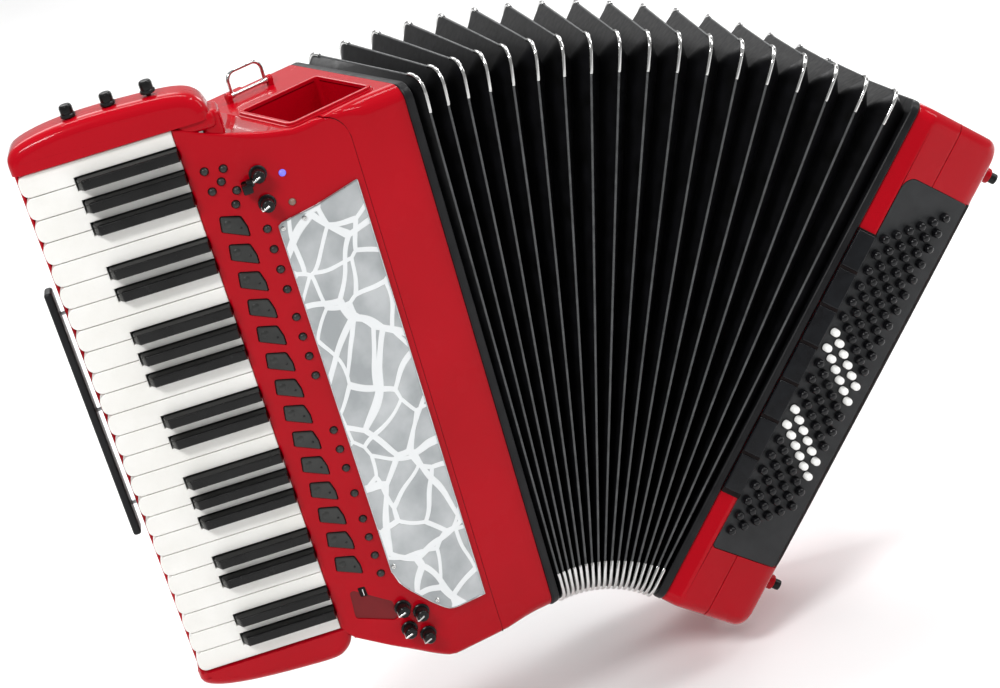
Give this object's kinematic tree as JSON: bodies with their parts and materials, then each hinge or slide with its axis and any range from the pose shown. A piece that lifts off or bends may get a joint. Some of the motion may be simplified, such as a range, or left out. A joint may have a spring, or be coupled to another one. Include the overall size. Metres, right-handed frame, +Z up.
{
  "type": "piano accordion",
  "caption": "Piano accordion held open with its bellows fanned out: tilted keyboard, control panel and grille on one side, bass button unit on the other",
  "frame": {"origin": "the middle of the flat back of the treble body, where the instrument rests on the player's chest", "axes": "+X from the keyboard towards the bass unit, +Y out of the back towards the player, +Z up along the keyboard"},
  "size_m": [0.8781, 0.3406, 0.7229],
  "materials": {
    "bellows": "glossy black bellows cloth with grey tape",
    "black_key": "glossy black",
    "black_trim": "satin black",
    "board_green": "green solder mask",
    "board_grey": "satin dark grey",
    "button_black": "glossy black, a few white",
    "chrome": "polished chrome",
    "control_black": "glossy black plastic",
    "red_shell": "glossy red lacquer",
    "silver": "satin silver",
    "speaker": "black paper and metal",
    "steel": "bright steel",
    "strap": "black leather",
    "white_key": "glossy white"
  },
  "bodies": {
    "treble": {"treble_body": "red_shell", "front_cover": "red_shell", "grille": "silver", "keyboard_frame": "red_shell", "key_axle": "steel", "treble_gasket": "black_trim", "main_board": "board_green", "speakers": "speaker"},
    "bass": {"bass_gasket": "black_trim", "bass_body": "red_shell", "bass_end_cover": "red_shell", "button_board": "board_grey", "bass_strap": "strap", "strap_posts": "black_trim"},
    "fold_01": {"bellows_fold_01": "bellows"},
    "fold_02": {"bellows_fold_02": "bellows"},
    "fold_03": {"bellows_fold_03": "bellows"},
    "fold_04": {"bellows_fold_04": "bellows"},
    "fold_05": {"bellows_fold_05": "bellows"},
    "fold_06": {"bellows_fold_06": "bellows"},
    "fold_07": {"bellows_fold_07": "bellows"},
    "fold_08": {"bellows_fold_08": "bellows"},
    "fold_09": {"bellows_fold_09": "bellows"},
    "fold_10": {"bellows_fold_10": "bellows"},
    "fold_11": {"bellows_fold_11": "bellows"},
    "fold_12": {"bellows_fold_12": "bellows"},
    "fold_13": {"bellows_fold_13": "bellows"},
    "fold_14": {"bellows_fold_14": "bellows"},
    "fold_15": {"bellows_fold_15": "bellows"},
    "fold_16": {"bellows_fold_16": "bellows"},
    "fold_17": {"bellows_fold_17": "bellows"},
    "fold_18": {"bellows_fold_18": "bellows"},
    "keys_f": {"key_f": "white_key"},
    "keys_g": {"key_g": "white_key"},
    "keys_a": {"key_a": "white_key"},
    "keys_b": {"key_b": "white_key"},
    "keys_c": {"key_c": "white_key"},
    "keys_d": {"key_d": "white_key"},
    "keys_e": {"key_e": "white_key"},
    "keys_f_sharp": {"key_f_sharp": "black_key"},
    "keys_g_sharp": {"key_g_sharp": "black_key"},
    "keys_a_sharp": {"key_a_sharp": "black_key"},
    "keys_c_sharp": {"key_c_sharp": "black_key"},
    "keys_d_sharp": {"key_d_sharp": "black_key"},
    "bass_notes": {"bass_note_buttons": "button_black"},
    "chords": {"chord_buttons": "button_black"},
    "bass_tabs": {"bass_registers": "control_black"},
    "treble_tabs": {"treble_registers": "control_black"},
    "push": {"push_buttons": "control_black"},
    "palm": {"palm_bar": "black_trim"},
    "loop": {"strap_loop": "chrome"},
    "top_1": {"top_knob_1": "control_black"},
    "top_2": {"top_knob_2": "control_black"},
    "top_3": {"top_knob_3": "control_black"},
    "select_1": {"select_knob_1": "control_black"},
    "select_2": {"select_knob_2": "control_black"},
    "level_1": {"level_knob_1": "control_black"},
    "level_2": {"level_knob_2": "control_black"},
    "level_3": {"level_knob_3": "control_black"},
    "level_4": {"level_knob_4": "control_black"}
  },
  "joints": [
    {"name": "bellows_fan", "type": "hinge", "parent": "treble", "child": "bass", "pos_m": [0.11099, -0.1724, -0.2711], "axis": [0, 0.8067, -0.591], "range_deg": [-54.86, 0]},
    {"name": "fold_01_fan", "type": "hinge", "parent": "treble", "child": "fold_01", "pos_m": [0.05687, -0.1724, -0.2711], "axis": [0, 0.3377, -0.9412], "range_deg": [-2.21, 0]},
    {"name": "fold_02_fan", "type": "hinge", "parent": "treble", "child": "fold_02", "pos_m": [0.05987, -0.1724, -0.2711], "axis": [0, 0.364, -0.9314], "range_deg": [-6.44, 0]},
    {"name": "fold_03_fan", "type": "hinge", "parent": "treble", "child": "fold_03", "pos_m": [0.06287, -0.1724, -0.2711], "axis": [0, 0.3907, -0.9205], "range_deg": [-10.44, 0]},
    {"name": "fold_04_fan", "type": "hinge", "parent": "treble", "child": "fold_04", "pos_m": [0.06588, -0.1724, -0.2711], "axis": [0, 0.4177, -0.9086], "range_deg": [-14.24, 0]},
    {"name": "fold_05_fan", "type": "hinge", "parent": "treble", "child": "fold_05", "pos_m": [0.06888, -0.1724, -0.2711], "axis": [0, 0.4449, -0.8956], "range_deg": [-17.83, 0]},
    {"name": "fold_06_fan", "type": "hinge", "parent": "treble", "child": "fold_06", "pos_m": [0.07188, -0.1724, -0.2711], "axis": [0, 0.4724, -0.8814], "range_deg": [-21.25, 0]},
    {"name": "fold_07_fan", "type": "hinge", "parent": "treble", "child": "fold_07", "pos_m": [0.07488, -0.1724, -0.2711], "axis": [0, 0.5, -0.866], "range_deg": [-24.49, 0]},
    {"name": "fold_08_fan", "type": "hinge", "parent": "treble", "child": "fold_08", "pos_m": [0.07789, -0.1724, -0.2711], "axis": [0, 0.5278, -0.8494], "range_deg": [-27.59, 0]},
    {"name": "fold_09_fan", "type": "hinge", "parent": "treble", "child": "fold_09", "pos_m": [0.08089, -0.1724, -0.2711], "axis": [0, 0.5555, -0.8315], "range_deg": [-30.55, 0]},
    {"name": "fold_10_fan", "type": "hinge", "parent": "treble", "child": "fold_10", "pos_m": [0.08389, -0.1724, -0.2711], "axis": [0, 0.5833, -0.8123], "range_deg": [-33.4, 0]},
    {"name": "fold_11_fan", "type": "hinge", "parent": "treble", "child": "fold_11", "pos_m": [0.08689, -0.1724, -0.2711], "axis": [0, 0.6109, -0.7917], "range_deg": [-36.13, 0]},
    {"name": "fold_12_fan", "type": "hinge", "parent": "treble", "child": "fold_12", "pos_m": [0.0899, -0.1724, -0.2711], "axis": [0, 0.6384, -0.7697], "range_deg": [-38.78, 0]},
    {"name": "fold_13_fan", "type": "hinge", "parent": "treble", "child": "fold_13", "pos_m": [0.0929, -0.1724, -0.2711], "axis": [0, 0.6656, -0.7463], "range_deg": [-41.35, 0]},
    {"name": "fold_14_fan", "type": "hinge", "parent": "treble", "child": "fold_14", "pos_m": [0.0959, -0.1724, -0.2711], "axis": [0, 0.6925, -0.7214], "range_deg": [-43.87, 0]},
    {"name": "fold_15_fan", "type": "hinge", "parent": "treble", "child": "fold_15", "pos_m": [0.0989, -0.1724, -0.2711], "axis": [0, 0.7189, -0.6951], "range_deg": [-46.34, 0]},
    {"name": "fold_16_fan", "type": "hinge", "parent": "treble", "child": "fold_16", "pos_m": [0.10191, -0.1724, -0.2711], "axis": [0, 0.7448, -0.6673], "range_deg": [-48.78, 0]},
    {"name": "fold_17_fan", "type": "hinge", "parent": "treble", "child": "fold_17", "pos_m": [0.10491, -0.1724, -0.2711], "axis": [0, 0.7701, -0.6379], "range_deg": [-51.21, 0]},
    {"name": "fold_18_fan", "type": "hinge", "parent": "treble", "child": "fold_18", "pos_m": [0.10791, -0.1724, -0.2711], "axis": [0, 0.7947, -0.607], "range_deg": [-53.64, 0]},
    {"name": "press_f", "type": "hinge", "parent": "treble", "child": "keys_f", "pos_m": [-0.11393, -0.12955, 0], "axis": [0, 0, -1], "range_deg": [0, 2.2], "stiffness_Nm_per_rad": 0.6},
    {"name": "press_g", "type": "hinge", "parent": "treble", "child": "keys_g", "pos_m": [-0.11393, -0.12955, 0], "axis": [0, 0, -1], "range_deg": [0, 2.2], "stiffness_Nm_per_rad": 0.6},
    {"name": "press_a", "type": "hinge", "parent": "treble", "child": "keys_a", "pos_m": [-0.11393, -0.12955, 0], "axis": [0, 0, -1], "range_deg": [0, 2.2], "stiffness_Nm_per_rad": 0.6},
    {"name": "press_b", "type": "hinge", "parent": "treble", "child": "keys_b", "pos_m": [-0.11393, -0.12955, 0], "axis": [0, 0, -1], "range_deg": [0, 2.2], "stiffness_Nm_per_rad": 0.6},
    {"name": "press_c", "type": "hinge", "parent": "treble", "child": "keys_c", "pos_m": [-0.11393, -0.12955, 0], "axis": [0, 0, -1], "range_deg": [0, 2.2], "stiffness_Nm_per_rad": 0.6},
    {"name": "press_d", "type": "hinge", "parent": "treble", "child": "keys_d", "pos_m": [-0.11393, -0.12955, 0], "axis": [0, 0, -1], "range_deg": [0, 2.2], "stiffness_Nm_per_rad": 0.6},
    {"name": "press_e", "type": "hinge", "parent": "treble", "child": "keys_e", "pos_m": [-0.11393, -0.12955, 0], "axis": [0, 0, -1], "range_deg": [0, 2.2], "stiffness_Nm_per_rad": 0.6},
    {"name": "press_f_sharp", "type": "hinge", "parent": "treble", "child": "keys_f_sharp", "pos_m": [-0.11393, -0.12955, 0], "axis": [0, 0, -1], "range_deg": [0, 2.2], "stiffness_Nm_per_rad": 0.6},
    {"name": "press_g_sharp", "type": "hinge", "parent": "treble", "child": "keys_g_sharp", "pos_m": [-0.11393, -0.12955, 0], "axis": [0, 0, -1], "range_deg": [0, 2.2], "stiffness_Nm_per_rad": 0.6},
    {"name": "press_a_sharp", "type": "hinge", "parent": "treble", "child": "keys_a_sharp", "pos_m": [-0.11393, -0.12955, 0], "axis": [0, 0, -1], "range_deg": [0, 2.2], "stiffness_Nm_per_rad": 0.6},
    {"name": "press_c_sharp", "type": "hinge", "parent": "treble", "child": "keys_c_sharp", "pos_m": [-0.11393, -0.12955, 0], "axis": [0, 0, -1], "range_deg": [0, 2.2], "stiffness_Nm_per_rad": 0.6},
    {"name": "press_d_sharp", "type": "hinge", "parent": "treble", "child": "keys_d_sharp", "pos_m": [-0.11393, -0.12955, 0], "axis": [0, 0, -1], "range_deg": [0, 2.2], "stiffness_Nm_per_rad": 0.6},
    {"name": "press_bass_notes", "type": "slide", "parent": "bass", "child": "bass_notes", "axis": [0.1948, 0.9762, 0.0954], "range_m": [0, 0.004], "stiffness_N_per_m": 300},
    {"name": "press_chords", "type": "slide", "parent": "bass", "child": "chords", "axis": [0.1948, 0.9762, 0.0954], "range_m": [0, 0.004], "stiffness_N_per_m": 300},
    {"name": "press_bass_tabs", "type": "slide", "parent": "bass", "child": "bass_tabs", "axis": [0.4833, 0.8517, -0.2023], "range_m": [0, 0.002], "stiffness_N_per_m": 300},
    {"name": "press_treble_tabs", "type": "hinge", "parent": "treble", "child": "treble_tabs", "pos_m": [-0.09943, -0.14724, 0], "axis": [0, 0, -1], "range_deg": [0, 4.5], "stiffness_Nm_per_rad": 0.3},
    {"name": "press_push_buttons", "type": "slide", "parent": "treble", "child": "push", "axis": [0.4061, 0.9138, 0], "range_m": [0, 0.0015], "stiffness_N_per_m": 200},
    {"name": "press_palm_bar", "type": "slide", "parent": "treble", "child": "palm", "axis": [0.891, -0.454, 0], "range_m": [0, 0.003], "stiffness_N_per_m": 300},
    {"name": "swing_strap_loop", "type": "hinge", "parent": "treble", "child": "loop", "pos_m": [-0.009, -0.039, 0.2625], "axis": [1, 0, 0], "range_deg": [-85, 85]},
    {"name": "turn_top_knob_1", "type": "hinge", "parent": "treble", "child": "top_1", "pos_m": [-0.19098, -0.08693, 0.3175], "axis": [0, 0, 1], "range_deg": [-140, 140]},
    {"name": "turn_top_knob_2", "type": "hinge", "parent": "treble", "child": "top_2", "pos_m": [-0.16158, -0.10191, 0.3175], "axis": [0, 0, 1], "range_deg": [-140, 140]},
    {"name": "turn_top_knob_3", "type": "hinge", "parent": "treble", "child": "top_3", "pos_m": [-0.13217, -0.11689, 0.3175], "axis": [0, 0, 1], "range_deg": [-140, 140]},
    {"name": "turn_select_knob_1", "type": "hinge", "parent": "treble", "child": "select_1", "pos_m": [-0.08179, -0.15727, 0.2305], "axis": [-0.4061, -0.9138, 0], "range_deg": [-140, 140]},
    {"name": "turn_select_knob_2", "type": "hinge", "parent": "treble", "child": "select_2", "pos_m": [-0.08179, -0.15727, 0.2044], "axis": [-0.4061, -0.9138, 0], "range_deg": [-140, 140]},
    {"name": "turn_level_knob_1", "type": "hinge", "parent": "treble", "child": "level_1", "pos_m": [-0.07969, -0.15821, -0.1922], "axis": [-0.4061, -0.9138, 0], "range_deg": [-140, 140]},
    {"name": "turn_level_knob_2", "type": "hinge", "parent": "treble", "child": "level_2", "pos_m": [-0.06625, -0.16418, -0.2019], "axis": [-0.4061, -0.9138, 0], "range_deg": [-140, 140]},
    {"name": "turn_level_knob_3", "type": "hinge", "parent": "treble", "child": "level_3", "pos_m": [-0.07959, -0.15825, -0.2147], "axis": [-0.4061, -0.9138, 0], "range_deg": [-140, 140]},
    {"name": "turn_level_knob_4", "type": "hinge", "parent": "treble", "child": "level_4", "pos_m": [-0.06625, -0.16418, -0.2256], "axis": [-0.4061, -0.9138, 0], "range_deg": [-140, 140]}
  ],
  "couplings": [
    {"joint": "fold_01_fan", "follows": "bellows_fan", "ratio": 0.040211},
    {"joint": "fold_02_fan", "follows": "bellows_fan", "ratio": 0.11735},
    {"joint": "fold_03_fan", "follows": "bellows_fan", "ratio": 0.19035},
    {"joint": "fold_04_fan", "follows": "bellows_fan", "ratio": 0.25949},
    {"joint": "fold_05_fan", "follows": "bellows_fan", "ratio": 0.32504},
    {"joint": "fold_06_fan", "follows": "bellows_fan", "ratio": 0.38728},
    {"joint": "fold_07_fan", "follows": "bellows_fan", "ratio": 0.4465},
    {"joint": "fold_08_fan", "follows": "bellows_fan", "ratio": 0.50296},
    {"joint": "fold_09_fan", "follows": "bellows_fan", "ratio": 0.55696},
    {"joint": "fold_10_fan", "follows": "bellows_fan", "ratio": 0.60877},
    {"joint": "fold_11_fan", "follows": "bellows_fan", "ratio": 0.65866},
    {"joint": "fold_12_fan", "follows": "bellows_fan", "ratio": 0.70692},
    {"joint": "fold_13_fan", "follows": "bellows_fan", "ratio": 0.75382},
    {"joint": "fold_14_fan", "follows": "bellows_fan", "ratio": 0.79964},
    {"joint": "fold_15_fan", "follows": "bellows_fan", "ratio": 0.84467},
    {"joint": "fold_16_fan", "follows": "bellows_fan", "ratio": 0.88918},
    {"joint": "fold_17_fan", "follows": "bellows_fan", "ratio": 0.93344},
    {"joint": "fold_18_fan", "follows": "bellows_fan", "ratio": 0.97775}
  ]
}
